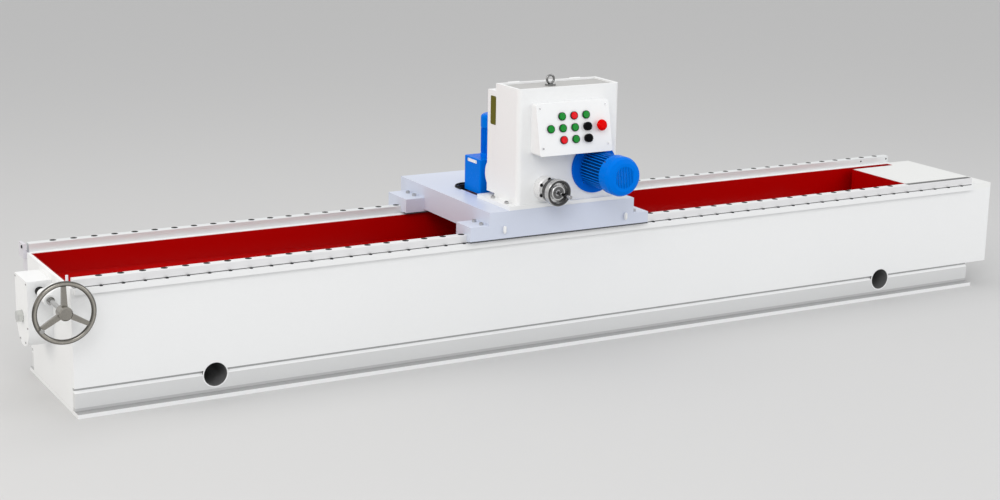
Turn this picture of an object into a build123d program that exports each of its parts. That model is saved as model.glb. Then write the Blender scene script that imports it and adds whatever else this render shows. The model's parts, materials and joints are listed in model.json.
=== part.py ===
from build123d import *
import os
from math import acos, atan2, cos, degrees, pi, radians, sin, sqrt, tan

# Knife grinding machine: a long bed with two guide rails, a travelling carriage and a grinding head.
# X runs along the bed, -Y is the operator's side, Z is up. The origin is the middle of the bed's base face.

# Bed
bed_length = 3800.0
bed_width = 500.0
bed_top = 416.0
base_h = 90.0
wall = 12.0
end_plate_t = 10.0
bulkhead_t = 10.0
bulkhead_count = 5
bulkhead_pitch = 600.0
base_short = 97.0
web_t = 20.0
groove_h = 8.0
groove_d = 9.0
ledge_slope = 8.0
flange_t = 14.0
flange_out = 30.0
lift_left_in = 465.0
lift_right_in = 554.0
lift_z = 73.0
lift_bore_r = 40.0
lift_tube_wall = 4.0

# Trough and deck
tray_t = 4.0
tray_lip_drop = 1.0
tray_floor_left = 342.0
tray_fall = 35.0
deck_reach = 343.0
deck_slot = 38.0
drain_in = 125.0

# Guide rails and their seats
rail_w = 30.0
rail_h = 28.0
rail_edge = 1.5
front_rail_in = 12.0
rear_rail_out = 25.0
rail_left_in = 10.0
front_rail_short = 107.0
rear_rail_short = 105.0
seat_t = 20.0
seat_past_rail = 2.0
front_seat_out = 14.0
front_seat_in = 24.0
rear_beam_out = 52.0
rear_beam_h = 46.0
stop_plate_t = 10.0
stop_plate_h = 48.0
stop_plate_half = 27.0
stop_post_r = 4.5
stop_post_h = 30.0
stop_post_in = 38.0

# Traverse rack and pinion
gear_module = 4.0
pinion_teeth = 18
pressure_angle = 20.0
backlash = 0.8
rack_left_in = 150.0
rack_right_in = 550.0
rack_h = 28.0
rack_depth = 26.0
rack_z = 350.0
pinion_x = -300.0
pinion_y = 22.0
pinion_shaft_r = 14.0
pinion_inset = 2.0
shaft_end_gap = 1.0

# Worm gearbox, handwheel and its crank handle
box_depth = 80.0
box_half = 72.5
box_y = 32.5
box_top = 394.0
box_wall = 7.0
cover_t = 10.0
worm_out = 40.0
worm_z = 361.0
wheel_z = 266.0
box_arc_z = 239.0
wheel_teeth = 40
wheel_module = 3.1
wheel_face = 30.0
wheel_shaft_r = 20.0
wheel_stub = 60.0
wheel_past_cover = 1.0
nut_r = 20.0
nut_h = 18.0
worm_shaft_r = 11.0
worm_gap = 6.0
worm_room = 1.0
shaft_inset = 2.0
seal_r = 15.0
seal_len = 18.0
seal_edge = 3.0
bracket_gap = 20.0
bracket_len = 84.0
bracket_r = 19.0
bracket_foot = 12.0
bracket_foot_half = 34.0
bracket_step = 8.0
collar_r = 13.0
collar_len = 10.0
neck_r = 7.5
handwheel_out = 70.0
handwheel_r = 100.0
rim_r = 8.0
hub_r = 22.0
hub_len = 40.0
hub_edge = 4.0
hub_cap = 6.0
spoke_w = 16.0
spoke_t = 11.0
crank_r = 88.0
crank_angle = 210.0
crank_boss_r = 8.0
crank_boss_out = 3.0
crank_grip_r = 7.0
crank_grip_len = 38.0
crank_grip_edge = 2.0
crank_pin_r = 4.0
crank_nut_r = 7.0
crank_nut_len = 14.0
run_clearance = 0.3
shaft_clearance = 0.05

# Carriage
carriage_left = -444.0
carriage_right = 146.0
carriage_front_past = 42.0
carriage_rear_past = 138.0
carriage_top = 520.0
carriage_bottom = 432.0
ear_top = 475.0
ear_right_top = 464.0
ear_bottom = 420.0
ear_len = 74.0
ear_right_len = 63.0
front_ear_in = 62.0
rear_ear_in = 58.0
rear_ear_past = 91.0
block_w = 70.0
block_len = 110.0
block_top = 454.0
block_lift = 6.0
slot_r = 48.0
slot_len = 220.0
slot_y = 74.0
slot_x = -300.0
carriage_plate_t = 24.0
pocket_end = 46.0
pocket_side = 8.0
bolt_head_r = 8.0
bolt_head_h = 8.0
bolt_inset = 18.0
bolt_spread = 52.0
oiler_r = 6.0
oiler_h = 26.0
oiler_inset = 58.0
oiler_z = 444.0

# Traverse gearmotor
reducer_left = -331.0
reducer_right = -217.0
reducer_front = 0.0
reducer_rear = 120.0
reducer_h = 125.0
reducer_edge = 6.0
reducer_lid_edge = 2.0
shaft_seat = 40.0
drive_motor_x = -246.0
drive_motor_y = 62.0
drive_motor_r = 45.0
drive_motor_top = 799.0
drive_cowl_h = 48.0
drive_fins = 24
motor_lip = 10.0
motor_slope = 4.0
motor_step = 5.0
fin_out = 1.0
fin_root = 2.0
fin_half = 1.5
fin_gap = 4.0

# Column
column_left = -330.0
column_right = 78.0
column_in = 12.0
column_depth = 162.0
column_top_z = 938.0
column_wall = 12.0
column_edge = 18.0
foot_t = 14.0
foot_side = 34.0
foot_front = 10.0
foot_rear = 64.0
roof_t = 8.0
roof_drop = 6.0
way_w = 46.0
way_t = 14.0
way_lean = 8.0
way_spacing = 250.0
eye_x = -158.0
eye_ring_r = 14.0
eye_wire_r = 4.0
eye_collar_r = 19.0
eye_collar_h = 6.0
eye_sink = 2.0

# Grinding head on the column's rear side
slide_t = 56.0
slide_top = 910.0
slide_bottom = 546.0
bulge_z = 610.0
bulge_r = 56.0
bulge_len = 70.0
bulge_out = 14.0
bulge_root = 1.0
head_x = -118.0
head_y = 72.0
quill_r = 62.0
quill_bottom = 440.0
quill_top = 640.0
arm_w = 110.0
arm_lift = 10.0
grind_motor_r = 70.0
grind_motor_top = 880.0
grind_cowl_h = 60.0
grind_fins = 32
grind_lip = 12.0
grind_step = 8.0
coupling_room = 8.0
coupling_h = 20.0
spindle_r = 16.0
spindle_past = 18.0
hub_inset = 14.0
washer_out = 12.0
washer_t = 8.0
wheel_r = 75.0
wheel_h = 46.0
wheel_bore_r = 48.0
wheel_back_t = 16.0
wheel_top = 426.0
wheel_edge = 6.0
wheel_draft = 4.0
guard_r = 88.0
guard_t = 3.0
guard_h = 34.0
guard_lift = 12.0
head_hole_r = 96.0
screw_r = 12.0
screw_x = -118.0
screw_in = 22.0
screw_end_gap = 2.0
nut_w = 60.0
nut_h_z = 50.0
nut_depth = 44.0
nut_lift = 90.0
nut_room = 4.0
nut_travel = 60.0

# Control console on the column's front
console_left = -281.0
console_right = 11.0
console_bottom = 713.0
console_top = 889.0
console_depth_low = 71.0
console_depth_high = 33.0
console_wall = 3.0
panel_t = 4.0
panel_edge = 8.0
button_pitch_x = 48.4
button_row_share = 0.2266
button_mid_x = -159.2
button_mid_share = 0.0106
button_r = 12.8
button_edge = 2.4
button_proud = 8.0
button_stem = 14.0
bezel_r = 14.2
bezel_t = 6.0
selector_r = 15.0
selector_proud = 16.0
selector_edge = 2.5
flute_r = 2.2
flute_out = 1.2
flute_count = 12
stop_button_r = 20.0
stop_button_proud = 26.0
stop_stem_r = 10.0
stop_offset_x = 52.4
stop_head_h = 14.0
stop_head_under = 4.0
stop_head_edge = 5.0
stop_head_dome = 8.0

# Feed nose
nose_x = -223.0
nose_z = 588.0
nose_flange_r = 43.0
nose_flange_t = 36.0
nose_neck_r = 30.0
nose_neck_len = 24.0
nose_edge = 4.0
dial_r = 47.0
dial_len = 46.0
dial_rim = 11.0
dial_cup = 20.0
dial_hub_r = 26.0
feed_shaft_r = 12.0
stub_r = 6.5
stub_edge = 1.0
shaft_past_wall = 30.0
dial_seat = 10.0
dial_hub_in = 6.0
dial_edge = 2.0
dial_step = 4.0
stub_end = -450.0

# Feed motor
motor_x = -22.0
motor_z = 644.0
motor_flange_r = 90.0
motor_flange_t = 12.0
flange_gap = 1.0
motor_core_r = 57.0
motor_fin_r = 64.5
motor_fin_count = 36
motor_fin_t = 3.0
motor_fin_root = 2.0
motor_fin_front = 6.0
motor_fin_rear = 4.0
flange_edge = 2.0
motor_body_len = 134.0
motor_cowl_r = 69.5
motor_cowl_len = 60.0
motor_cowl_t = 2.5
motor_cowl_edge = 20.0
cowl_slot_w = 2.2
cowl_slot_pitch = 6.4
cowl_slots = 11
cowl_slot_in = 11.0
cowl_shoulder = 0.3
fan_r = 56.0
fan_t = 22.0
fan_blades = 7
motor_shaft_r = 9.0
motor_hole_gap = 1.0
rotor_past = 24.0
fan_gap = 12.0
fan_disc_in = 4.0
fan_disc_t = 4.0
blade_half = 1.5

# Values worked out from the driving dimensions
half_len = bed_length / 2
half_w = bed_width / 2
base_right = half_len - base_short
lift_left_x = lift_left_in - half_len
lift_right_x = half_len - lift_right_in
deck_left = half_len - deck_reach
drain_right = half_len - drain_in
front_rail_y = front_rail_in - half_w
rear_rail_y = half_w + rear_rail_out
rail_left = rail_left_in - half_len
front_rail_right = half_len - front_rail_short
rear_rail_right = half_len - rear_rail_short
stop_post_y = front_rail_y + stop_post_in
rack_left = rack_left_in - half_len
rack_right = half_len - rack_right_in
worm_x = -half_len - worm_out
bracket_y = box_y - box_half - seal_len - bracket_gap - bracket_len / 2
handwheel_y = -half_w - handwheel_out
carriage_front = front_rail_y - carriage_front_past
carriage_rear = rear_rail_y + carriage_rear_past
front_ear_inner = front_rail_y + front_ear_in
rear_ear_inner = rear_rail_y - rear_ear_in
rear_ear_outer = rear_rail_y + rear_ear_past
column_front = carriage_front + column_in
column_rear = column_front + column_depth
seat_bottom = bed_top - seat_t
tray_half = half_w - wall
rail_top = bed_top + rail_h
front_seat_y0 = -half_w - front_seat_out
front_seat_y1 = front_rail_y + front_seat_in
front_seat_right = front_rail_right + seat_past_rail
rear_seat_right = rear_rail_right + seat_past_rail
rear_seat_y1 = half_w + rear_beam_out
seat_left = -half_len + end_plate_t
box_left = -half_len - box_depth
pinion_pitch_r = gear_module * pinion_teeth / 2
rack_pitch_y = pinion_y - pinion_pitch_r
worm_drop = worm_z - wheel_z
worm_r = worm_drop - wheel_module * (wheel_teeth / 2 + 1) - run_clearance
motor_bore_r = motor_shaft_r + shaft_clearance
slide_y0 = column_rear + run_clearance
slide_y1 = slide_y0 + slide_t
foot_top = carriage_top + foot_t
console_face_len = sqrt((console_depth_low - console_depth_high) ** 2 + (console_top - console_bottom) ** 2)
console_tilt = degrees(atan2(console_depth_low - console_depth_high, console_top - console_bottom))


def block(x, y, z):
    size = (x[1] - x[0], y[1] - y[0], z[1] - z[0])
    return Pos((x[0] + x[1]) / 2, (y[0] + y[1]) / 2, (z[0] + z[1]) / 2) * Box(*size)


def rod(axis, at, radius, start, end):
    # A round bar along one axis, through the two other coordinates of a point
    turn = {"X": Rot(0, 90, 0), "Y": Rot(-90, 0, 0), "Z": Rot(0, 0, 0)}[axis]
    place = {"X": (start, at[0], at[1]), "Y": (at[0], start, at[1]), "Z": (at[0], at[1], start)}[axis]
    bar = Cylinder(radius, end - start, align=(Align.CENTER, Align.CENTER, Align.MIN))
    return Pos(*place) * turn * bar


def along_x(points, start, end):
    face = make_face(Polyline(*points, close=True))
    return extrude(Plane.YZ.offset(start) * face, amount=end - start)


def along_y(points, start, end):
    face = make_face(Polyline(*points, close=True))
    return extrude(Plane.XZ.offset(-end) * face, amount=end - start)


def along_z(points, start, end):
    face = make_face(Polyline(*points, close=True))
    return extrude(Plane.XY.offset(start) * face, amount=end - start)


def turned_y(at, points):
    # A turned form on an axis along Y: points are (radius, y)
    profile = make_face(Polyline(*points, close=True))
    form = revolve(profile, Axis.Y)
    return Pos(at[0], 0, at[1]) * form


def turned_z(at, points):
    profile = make_face(Polyline(*[(r, 0, z) for r, z in points], close=True))
    form = revolve(profile, Axis.Z)
    return Pos(at[0], at[1], 0) * form


# Bed
def tray_floor(x):
    # Height of the trough floor, which falls to the right so that coolant drains
    return tray_floor_left - tray_fall * (x + half_len) / (deck_left + half_len)


def lifting_bores(radius):
    bores = [rod("Y", (x, lift_z), radius, -half_w, half_w) for x in (lift_left_x, lift_right_x)]
    return bores[0] + bores[1]


def make_base_frame():
    # Two webs on a floor plate, each with a sloped ledge and a groove under the box
    edge = half_w + flange_out
    web_inner = half_w - web_t
    groove_y = half_w - groove_d
    ledge = base_h - groove_h
    plate = block((-half_len, base_right), (-edge, edge), (0, flange_t))
    for side in (-1, 1):
        web = [(web_inner, flange_t), (half_w, flange_t), (half_w, ledge - ledge_slope), (groove_y, ledge),
               (groove_y, base_h), (web_inner, base_h)]
        plate += along_x([(side * y, z) for y, z in web], -half_len, base_right)
    plate += block((base_right - wall, base_right), (-web_inner, web_inner), (flange_t, base_h))
    return plate - lifting_bores(lift_bore_r + lift_tube_wall)


def make_bed_box():
    left = -half_len + end_plate_t
    outer = block((left, half_len), (-half_w, half_w), (base_h, seat_bottom))
    inner = block((left, half_len - wall), (-tray_half, tray_half), (base_h + wall, seat_bottom))
    shell = outer - inner
    for i in range(bulkhead_count):
        x = (i - (bulkhead_count - 1) / 2) * bulkhead_pitch
        near = x - bulkhead_t / 2
        far = x + bulkhead_t / 2
        shell += block((near, far), (-tray_half, tray_half), (base_h + wall, tray_floor(far) - tray_t))
    return shell - lifting_bores(lift_bore_r + lift_tube_wall)


def make_left_end_plate():
    # The plate stands between the base frame's webs and covers the whole end above them
    web_inner = half_w - web_t
    ends = (-half_len, -half_len + end_plate_t)
    plate = block(ends, (-half_w, half_w), (base_h, bed_top)) + block(ends, (-web_inner, web_inner), (flange_t, base_h))
    hole_r = wheel_shaft_r + shaft_clearance
    return plate - rod("X", (box_y, wheel_z), hole_r, -half_len, -half_len + end_plate_t)


def make_lifting_tubes():
    return lifting_bores(lift_bore_r + lift_tube_wall) - lifting_bores(lift_bore_r)


def make_coolant_tray():
    left = -half_len + end_plate_t
    right = deck_left + tray_t
    rim = bed_top - tray_lip_drop

    def side_view(margin):
        low_left = tray_floor(left + margin) - tray_t + margin
        low_right = tray_floor(right - margin) - tray_t + margin
        near, far = left + margin, right - margin
        return [(near, low_left), (far, low_right), (far, rim), (near, rim)]
    # A drain channel runs on from the rear corner, beside the deck
    low = tray_floor(right) - tray_t
    drain_front = tray_half - deck_slot
    pan = along_y(side_view(0), front_seat_y1, tray_half)
    pan += block((right, drain_right), (drain_front, tray_half), (low, rim))
    pan -= along_y(side_view(tray_t), front_seat_y1 + tray_t, tray_half - tray_t)
    channel = block((deck_left - tray_t, drain_right - tray_t), (drain_front + tray_t, tray_half - tray_t),
                    (low + tray_t * 2, rim))
    return pan - channel


def make_deck_plate():
    front = front_seat_y1
    slot_edge = tray_half - deck_slot
    left = deck_left + tray_t
    plan = [(left, front), (front_seat_right, front), (front_seat_right, -half_w), (half_len, -half_w),
            (half_len, half_w), (rear_seat_right, half_w), (rear_seat_right, tray_half),
            (drain_right, tray_half), (drain_right, slot_edge), (left, slot_edge)]
    return along_z(plan, seat_bottom, bed_top)


def make_front_rail_seat():
    return block((seat_left, front_seat_right), (front_seat_y0, front_seat_y1), (seat_bottom, bed_top))


def make_rear_rail_seat():
    # An angle-shaped bar that overhangs the rear wall and carries the rear rail
    beam_bottom = seat_bottom - rear_beam_h
    section = [(tray_half, seat_bottom), (half_w, seat_bottom), (half_w, beam_bottom),
               (rear_seat_y1, beam_bottom), (rear_seat_y1, bed_top), (tray_half, bed_top)]
    return along_x(section, seat_left, rear_seat_right)


def make_rail(y, right):
    half = rail_w / 2
    section = [(y - half, bed_top), (y + half, bed_top), (y + half, rail_top - rail_edge),
               (y + half - rail_edge, rail_top), (y - half + rail_edge, rail_top),
               (y - half, rail_top - rail_edge)]
    return along_x(section, rail_left, right)


def make_rail_stops():
    middle = (half_w + rear_seat_y1) / 2 + stop_plate_t
    plate_y = (middle - stop_plate_half, middle + stop_plate_half)
    plate = block((-half_len - stop_plate_t, -half_len), plate_y, (rail_top - stop_plate_h, rail_top))
    bridge = block((-half_len, seat_left), (half_w, rear_seat_y1), (seat_bottom - rear_beam_h, bed_top))
    post = rod("Z", (-half_len + end_plate_t / 2, stop_post_y), stop_post_r, bed_top, bed_top + stop_post_h)
    return Compound([plate + bridge, post])


# Rack and pinion
def gear_outline(module, teeth, play):
    # Involute teeth, the first one centred on the local X axis
    pitch_r = module * teeth / 2
    base_r = pitch_r * cos(radians(pressure_angle))
    tip_r = pitch_r + module
    root_r = pitch_r - 1.25 * module

    def involute_angle(r):
        a = acos(min(1.0, base_r / r))
        return tan(a) - a
    half_at_pitch = pi / (2 * teeth) - play / (2 * pitch_r)
    start_r = max(root_r + 0.1 * module, base_r)
    radii = [start_r + (tip_r - start_r) * k / 3 for k in range(4)]
    flank = [(r, half_at_pitch + involute_angle(pitch_r) - involute_angle(r)) for r in radii]
    points = []
    for n in range(teeth):
        mid = 2 * pi * n / teeth
        points.append((root_r, mid - flank[0][1]))
        points += [(r, mid - a) for r, a in flank]
        points += [(r, mid + a) for r, a in reversed(flank)]
        points.append((root_r, mid + flank[0][1]))
    return [(r * cos(a), r * sin(a)) for r, a in points]


def make_rack_seat():
    y1 = rack_pitch_y - 1.25 * gear_module
    y0 = rack_pitch_y + gear_module - rack_depth
    profile = [(rack_left, tray_floor(rack_left)), (rack_right, tray_floor(rack_right)),
               (rack_right, rack_z), (rack_left, rack_z)]
    return along_y(profile, y0, y1)


def make_drive_rack():
    pitch = pi * gear_module
    tip_y = rack_pitch_y + gear_module
    root_y = rack_pitch_y - 1.25 * gear_module
    back_y = tip_y - rack_depth
    half_pitch_w = pitch / 4 - backlash / 4
    slope = tan(radians(pressure_angle))
    tip_w = half_pitch_w - gear_module * slope
    root_w = half_pitch_w + 1.25 * gear_module * slope
    first = int((rack_left - pinion_x) / pitch) + 1
    last = int((rack_right - pinion_x) / pitch) - 1
    points = [(rack_left, back_y), (rack_left, root_y)]
    for n in range(first, last + 1):
        x = pinion_x + n * pitch
        points += [(x - root_w, root_y), (x - tip_w, tip_y), (x + tip_w, tip_y), (x + root_w, root_y)]
    points += [(rack_right, root_y), (rack_right, back_y)]
    return along_z(points, rack_z, rack_z + rack_h)


def make_drive_pinion():
    low = rack_z + pinion_inset
    high = rack_z + rack_h - pinion_inset
    wheel = along_z(gear_outline(gear_module, pinion_teeth, backlash / 2), low, high)
    shaft = rod("Z", (pinion_x, pinion_y), pinion_shaft_r, low, carriage_top + shaft_seat - shaft_end_gap)
    return Pos(pinion_x, pinion_y, 0) * wheel + shaft


# Worm gearbox and handwheel
def gearbox_outline(inset):
    r = box_half - inset
    top = box_top - inset
    side = Line((box_y - r, top), (box_y - r, box_arc_z))
    bottom = ThreePointArc((box_y - r, box_arc_z), (box_y, box_arc_z - r), (box_y + r, box_arc_z))
    other = Line((box_y + r, box_arc_z), (box_y + r, top))
    lid = Line((box_y + r, top), (box_y - r, top))
    return make_face([side, bottom, other, lid])


def make_worm_housing():
    left = box_left + cover_t
    body = extrude(Plane.YZ.offset(left) * gearbox_outline(0), amount=-half_len - left)
    hollow = extrude(Plane.YZ.offset(left) * gearbox_outline(box_wall), amount=-half_len - box_wall - left)
    front = box_y - box_half
    rear = box_y + box_half
    room = rod("Y", (worm_x, worm_z), worm_r + worm_room, front + box_wall, rear - box_wall)
    bore = rod("Y", (worm_x, worm_z), worm_shaft_r + shaft_clearance, front, rear)
    shaft_room = wheel_shaft_r + shaft_clearance
    shaft_bore = rod("X", (box_y, wheel_z), shaft_room, -half_len - box_wall, -half_len)
    return body - hollow - room - bore - shaft_bore


def make_worm_cover():
    plate = extrude(Plane.YZ.offset(box_left) * gearbox_outline(0), amount=cover_t)
    return plate - rod("X", (box_y, wheel_z), wheel_shaft_r + shaft_clearance, box_left, box_left + cover_t)


def make_worm_shaft():
    front = box_y - box_half
    rear = box_y + box_half
    face = bracket_y - bracket_len / 2 - run_clearance
    at = (worm_x, worm_z)
    shaft = rod("Y", at, worm_shaft_r, face, rear - shaft_inset)
    worm = rod("Y", at, worm_r, front + box_wall + worm_gap, rear - box_wall - worm_gap)
    collar = rod("Y", at, collar_r, face - collar_len, face)
    neck = rod("Y", at, neck_r, handwheel_y - hub_len / 2 + hub_cap, face)
    return shaft + worm + collar + neck


def make_worm_wheel():
    outline = make_face(Polyline(*gear_outline(wheel_module, wheel_teeth, backlash), close=True))
    teeth = Pos(worm_x - wheel_face / 2, box_y, wheel_z) * extrude(Plane.YZ * outline, amount=wheel_face)
    end = box_left - wheel_past_cover
    shaft = rod("X", (box_y, wheel_z), wheel_shaft_r, end, -half_len + wheel_stub)
    flats = Rot(0, 90, 0) * extrude(RegularPolygon(nut_r, 6), amount=nut_h)
    nut = Pos(end - nut_h, box_y, wheel_z) * flats
    return teeth + shaft + nut


def make_seal_collar():
    back = box_y - box_half
    face = back - seal_len
    bore = worm_shaft_r + shaft_clearance
    return turned_y((worm_x, worm_z), [(bore, face), (seal_r - seal_edge, face), (seal_r, face + seal_edge),
                                       (seal_r, back), (bore, back)])


def make_shaft_bracket():
    # A bearing bracket on the end plate that carries the handwheel shaft
    y1 = bracket_y + bracket_len / 2
    y0 = bracket_y - bracket_len / 2
    barrel = rod("Y", (worm_x, worm_z), bracket_r, y0, y1)
    pad = -half_len - bracket_foot
    low = worm_z - bracket_foot_half
    high = worm_z + bracket_foot_half
    profile = [(worm_x, worm_z - bracket_r), (pad, low), (-half_len, low), (-half_len, high), (pad, high),
               (worm_x, worm_z + bracket_r)]
    foot = along_y(profile, y0 + bracket_step, y1 - bracket_step)
    return barrel + foot - rod("Y", (worm_x, worm_z), worm_shaft_r + shaft_clearance, y0, y1)


def make_handwheel():
    at = (worm_x, worm_z)
    rim = Pos(worm_x, handwheel_y, worm_z) * Rot(90, 0, 0) * Torus(handwheel_r - rim_r, rim_r)
    face = handwheel_y - hub_len / 2
    back = handwheel_y + hub_len / 2
    hub = turned_y(at, [(0, face), (hub_r - hub_edge, face), (hub_r, face + hub_edge),
                        (hub_r, back), (0, back)])
    wheel = rim + hub
    reach = handwheel_r - rim_r
    start = hub_r - hub_edge
    for k in range(3):
        angle = 90 + 120 * k
        outline = [(start, -spoke_w * 0.6), (reach, -spoke_w * 0.42),
                   (reach, spoke_w * 0.42), (start, spoke_w * 0.6)]
        spoke = along_y(outline, handwheel_y - spoke_t / 2, handwheel_y + spoke_t / 2)
        wheel += Pos(worm_x, 0, worm_z) * Rot(0, -angle, 0) * spoke
    wheel -= rod("Y", at, neck_r, face + hub_cap, back)
    pin = crank_place()
    wheel += rod("Y", pin, crank_boss_r, handwheel_y - rim_r - crank_boss_out, handwheel_y + rim_r)
    pin_room = crank_pin_r + shaft_clearance
    return wheel - rod("Y", pin, pin_room, handwheel_y - rim_r * 2, handwheel_y + rim_r * 2)


def crank_place():
    a = radians(crank_angle)
    return (worm_x + crank_r * cos(a), worm_z + crank_r * sin(a))


def make_crank_handle():
    # The grip lies behind the rim, and a cap nut holds it in front
    back = handwheel_y + rim_r + run_clearance
    face = handwheel_y - rim_r - crank_boss_out - run_clearance
    end = back + crank_grip_len
    tip = face - crank_nut_len
    at = crank_place()
    pin = rod("Y", at, crank_pin_r, face, back)
    waist = crank_grip_r - crank_grip_edge
    grip = turned_y(at, [(0, back), (waist, back), (waist, back + crank_grip_edge),
                         (crank_grip_r, end - crank_grip_len / 2), (crank_grip_r, end - crank_grip_edge),
                         (waist, end), (0, end)])
    brow = crank_nut_r - crank_grip_edge
    nut = turned_y(at, [(0, tip), (brow, tip), (crank_nut_r, tip + crank_grip_edge),
                        (crank_nut_r, face), (0, face)])
    return pin + nut + grip


# Carriage
def ear_boxes():
    spans = [(carriage_front, front_ear_inner), (rear_ear_inner, rear_ear_outer)]
    ends = [(carriage_left - ear_len, carriage_left), (carriage_right, carriage_right + ear_right_len)]
    return [(x, y) for y in spans for x in ends]


def ear_height(x):
    # The ears at the right end are a little lower
    return ear_top if x[1] <= carriage_left else ear_right_top


def make_carriage_body():
    whole = (carriage_left, carriage_right)
    body = block(whole, (carriage_front, carriage_rear), (carriage_bottom, carriage_top))
    body += block(whole, (carriage_front, front_ear_inner), (ear_bottom, carriage_bottom))
    body += block(whole, (rear_ear_inner, rear_ear_outer), (ear_bottom, carriage_bottom))
    for x, y in ear_boxes():
        body += block(x, y, (ear_bottom, ear_height(x)))
    left = carriage_left - ear_len
    right = carriage_right + ear_right_len
    room = block_w / 2
    for y in (front_rail_y, rear_rail_y):
        body -= block((left, right), (y - room, y + room), (ear_bottom, block_top))
    pocket_y = (front_ear_inner + pocket_side, rear_rail_y - room - pocket_side)
    body -= block((carriage_left + pocket_end, carriage_right - pocket_end), pocket_y,
                  (carriage_bottom, carriage_top - carriage_plate_t))
    opening = Pos(slot_x, slot_y) * Rot(0, 0, 90) * SlotOverall(slot_len, slot_r * 2)
    slot = extrude(Plane.XY.offset(carriage_bottom) * opening, amount=carriage_top - carriage_bottom)
    hole = rod("Z", (head_x, head_y), head_hole_r, carriage_bottom, carriage_top)
    return body - slot - hole


def make_slide_blocks():
    half = rail_w / 2 + run_clearance
    w = block_w / 2
    blocks = []
    low = bed_top + block_lift
    for y in (front_rail_y, rear_rail_y):
        for x in (carriage_left - ear_len, carriage_right + ear_right_len - block_len):
            solid = block((x, x + block_len), (y - w, y + w), (low, block_top))
            way = block((x, x + block_len), (y - half, y + half), (low, rail_top + run_clearance))
            blocks.append(solid - way)
    return Compound(blocks)


def make_carriage_bolts():
    heads = []
    for x, y in ear_boxes():
        seat = ear_height(x)
        top = seat + bolt_head_h
        at_x = x[1] - bolt_inset if x[1] <= carriage_left else x[0] + bolt_inset
        mid = (y[0] + y[1]) / 2
        for s in (-0.5, 0.5):
            spot = (at_x, mid + s * bolt_spread)
            hexagon = extrude(RegularPolygon(bolt_head_r * 0.5, 6), amount=bolt_head_h)
            socket = Pos(*spot, top - bolt_head_h / 2) * hexagon
            heads.append(rod("Z", spot, bolt_head_r, seat, top) - socket)
    return Compound(heads)


def make_oilers():
    cups = []
    top = oiler_z + oiler_h
    for x in (carriage_left + oiler_inset, carriage_right - oiler_inset / 1.6):
        y = carriage_front - oiler_r
        cup = turned_z((x, y), [(0, oiler_z), (oiler_r * 0.6, oiler_z), (oiler_r, oiler_z + oiler_r),
                                (oiler_r, top - oiler_r / 2), (oiler_r / 2, top), (0, top)])
        cups.append(cup + rod("Y", (x, oiler_z + oiler_h * 0.5), oiler_r * 0.5, y, carriage_front))
    return Compound(cups)


# Traverse gearmotor
def make_reducer_housing():
    body = block((reducer_left, reducer_right), (reducer_front, reducer_rear),
                 (carriage_top, carriage_top + reducer_h))
    body = fillet(body.edges().filter_by(Axis.Z), reducer_edge)
    body = chamfer(body.faces().sort_by(Axis.Z)[-1].edges(), reducer_lid_edge)
    bore_r = pinion_shaft_r + shaft_clearance
    return body - rod("Z", (pinion_x, pinion_y), bore_r, carriage_top, carriage_top + shaft_seat)


def ribs(at, radius, step, low, high, count):
    # Cooling fins round an upright motor
    one = block((radius - step - fin_root, radius - fin_out), (-fin_half, fin_half), (low, high))
    return [Pos(at[0], at[1], 0) * Rot(0, 0, 360 * k / count) * one for k in range(count)]


def make_drive_motor():
    base = carriage_top + reducer_h
    split = drive_motor_top - drive_cowl_h
    r = drive_motor_r
    low = base + motor_lip + motor_slope
    at = (drive_motor_x, drive_motor_y)
    body = turned_z(at, [(0, base), (r, base), (r, base + motor_lip), (r - motor_step, low),
                         (r - motor_step, split), (0, split)])
    for rib in ribs(at, r, motor_step, low, split - fin_gap, drive_fins):
        body += rib
    return body


def domed_cap(at, r, low, top, edge):
    # A fan cover: a drum with a two-step rounded shoulder
    shoulder = [(r, top - edge), (r - edge * 0.3, top - edge * 0.4), (r - edge, top)]
    return turned_z(at, [(0, low), (r, low)] + shoulder + [(0, top)])


def make_drive_motor_cowl():
    split = drive_motor_top - drive_cowl_h
    return domed_cap((drive_motor_x, drive_motor_y), drive_motor_r, split, drive_motor_top, motor_lip)


# Column
def way_section(x, gap):
    # Dovetail way on the column's rear face, or with a gap, the slide's groove for it
    root = way_w / 2 - way_lean + gap
    tip = way_w / 2 + gap
    y0 = column_rear + min(gap, run_clearance)
    y1 = column_rear + way_t + gap
    return [(x - root, y0), (x + root, y0), (x + tip, y1), (x - tip, y1)]


def way_places():
    mid = (column_left + column_right) / 2
    return [mid - way_spacing / 2, mid + way_spacing / 2]


def make_column():
    z0 = carriage_top
    body = block((column_left, column_right), (column_front, column_rear), (z0, column_top_z))
    body = fillet(body.edges().filter_by(Axis.Z).sort_by(Axis.Y)[0:2], column_edge)
    body += block((column_left - foot_side, column_right + foot_side),
                  (column_front - foot_front, column_rear + foot_rear), (z0, foot_top))
    w = column_wall
    body -= block((column_left + w, column_right - w), (column_front + w, column_rear - w),
                  (z0, column_top_z))
    half = nut_w / 2 + nut_room
    body -= block((screw_x - half, screw_x + half), (column_rear - w, column_rear),
                  (slide_bottom - nut_travel, column_top_z - nut_travel))
    body -= rod("Y", (motor_x, motor_z), motor_shaft_r + motor_hole_gap, column_front, column_front + w)
    body -= rod("Y", (nose_x, nose_z), feed_shaft_r + shaft_clearance, column_front, column_front + w)
    for x in way_places():
        body += along_z(way_section(x, 0), foot_top, column_top_z)
    return body


def make_column_roof():
    inset = column_wall
    z1 = column_top_z - roof_drop
    return block((column_left + inset, column_right - inset),
                 (column_front + inset, column_rear - inset), (z1 - roof_t, z1))


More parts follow.
